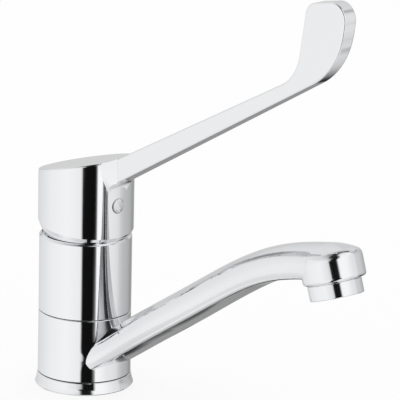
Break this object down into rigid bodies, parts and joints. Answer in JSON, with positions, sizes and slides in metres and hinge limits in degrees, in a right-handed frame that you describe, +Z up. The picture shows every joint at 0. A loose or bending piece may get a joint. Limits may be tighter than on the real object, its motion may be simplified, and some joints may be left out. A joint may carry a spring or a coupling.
{
  "type": "elbow lever tap",
  "caption": "Chrome single-lever basin mixer with a long elbow lever that ends in an upturned paddle, and a swivel spout with a tilted round nose.",
  "frame": {"origin": "centre of the tap's foot, on the deck it stands on", "axes": "+Z up along the body's axis, -Y along the spout and the lever, +X to the side"},
  "size_m": [0.0532, 0.2309, 0.2448],
  "materials": {
    "chrome": "polished",
    "plug": "gloss",
    "steel": "satin",
    "brass": "machined",
    "seal_rubber": "matte",
    "slide_plastic": "matte",
    "flow_plastic": "matte",
    "cartridge_plastic": "matte",
    "ceramic": "lapped"
  },
  "bodies": {
    "tap_body": {"body": "chrome", "base_ring": "chrome", "base_gasket": "seal_rubber", "spout_seals": "seal_rubber", "spout_slide_ring_lower": "slide_plastic", "spout_slide_ring_upper": "slide_plastic", "cartridge_base": "cartridge_plastic", "cartridge_port_seals": "seal_rubber", "fixed_disc": "ceramic", "cartridge_housing": "cartridge_plastic", "cartridge_nut": "brass"},
    "spout": {"spout": "chrome", "aerator_housing": "chrome", "aerator_insert": "flow_plastic", "aerator_screen": "flow_plastic", "aerator_washer": "seal_rubber"},
    "collar": {"turning_collar": "slide_plastic", "stem_pin": "steel"},
    "lever": {"lever": "chrome", "lever_stem": "steel", "lever_screw": "steel", "lever_plug": "plug"},
    "disc": {"moving_disc": "ceramic", "disc_driver": "cartridge_plastic"}
  },
  "joints": [
    {"name": "spout_swivel", "type": "hinge", "parent": "tap_body", "child": "spout", "pos_m": [0, 0, 0], "axis": [0, 0, 1], "continuous": true},
    {"name": "lever_turn", "type": "hinge", "parent": "tap_body", "child": "collar", "pos_m": [0, 0, 0], "axis": [0, 0, 1], "range_deg": [-50, 50]},
    {"name": "lever_lift", "type": "hinge", "parent": "collar", "child": "lever", "pos_m": [0, 0, 0.096], "axis": [-1, 0, 0], "range_deg": [0, 20]},
    {"name": "disc_slide", "type": "slide", "parent": "collar", "child": "disc", "axis": [0, -1, 0], "range_m": [0, 0.00685]}
  ],
  "couplings": [
    {"joint": "disc_slide", "follows": "lever_lift", "m_per_rad": 0.019596}
  ]
}
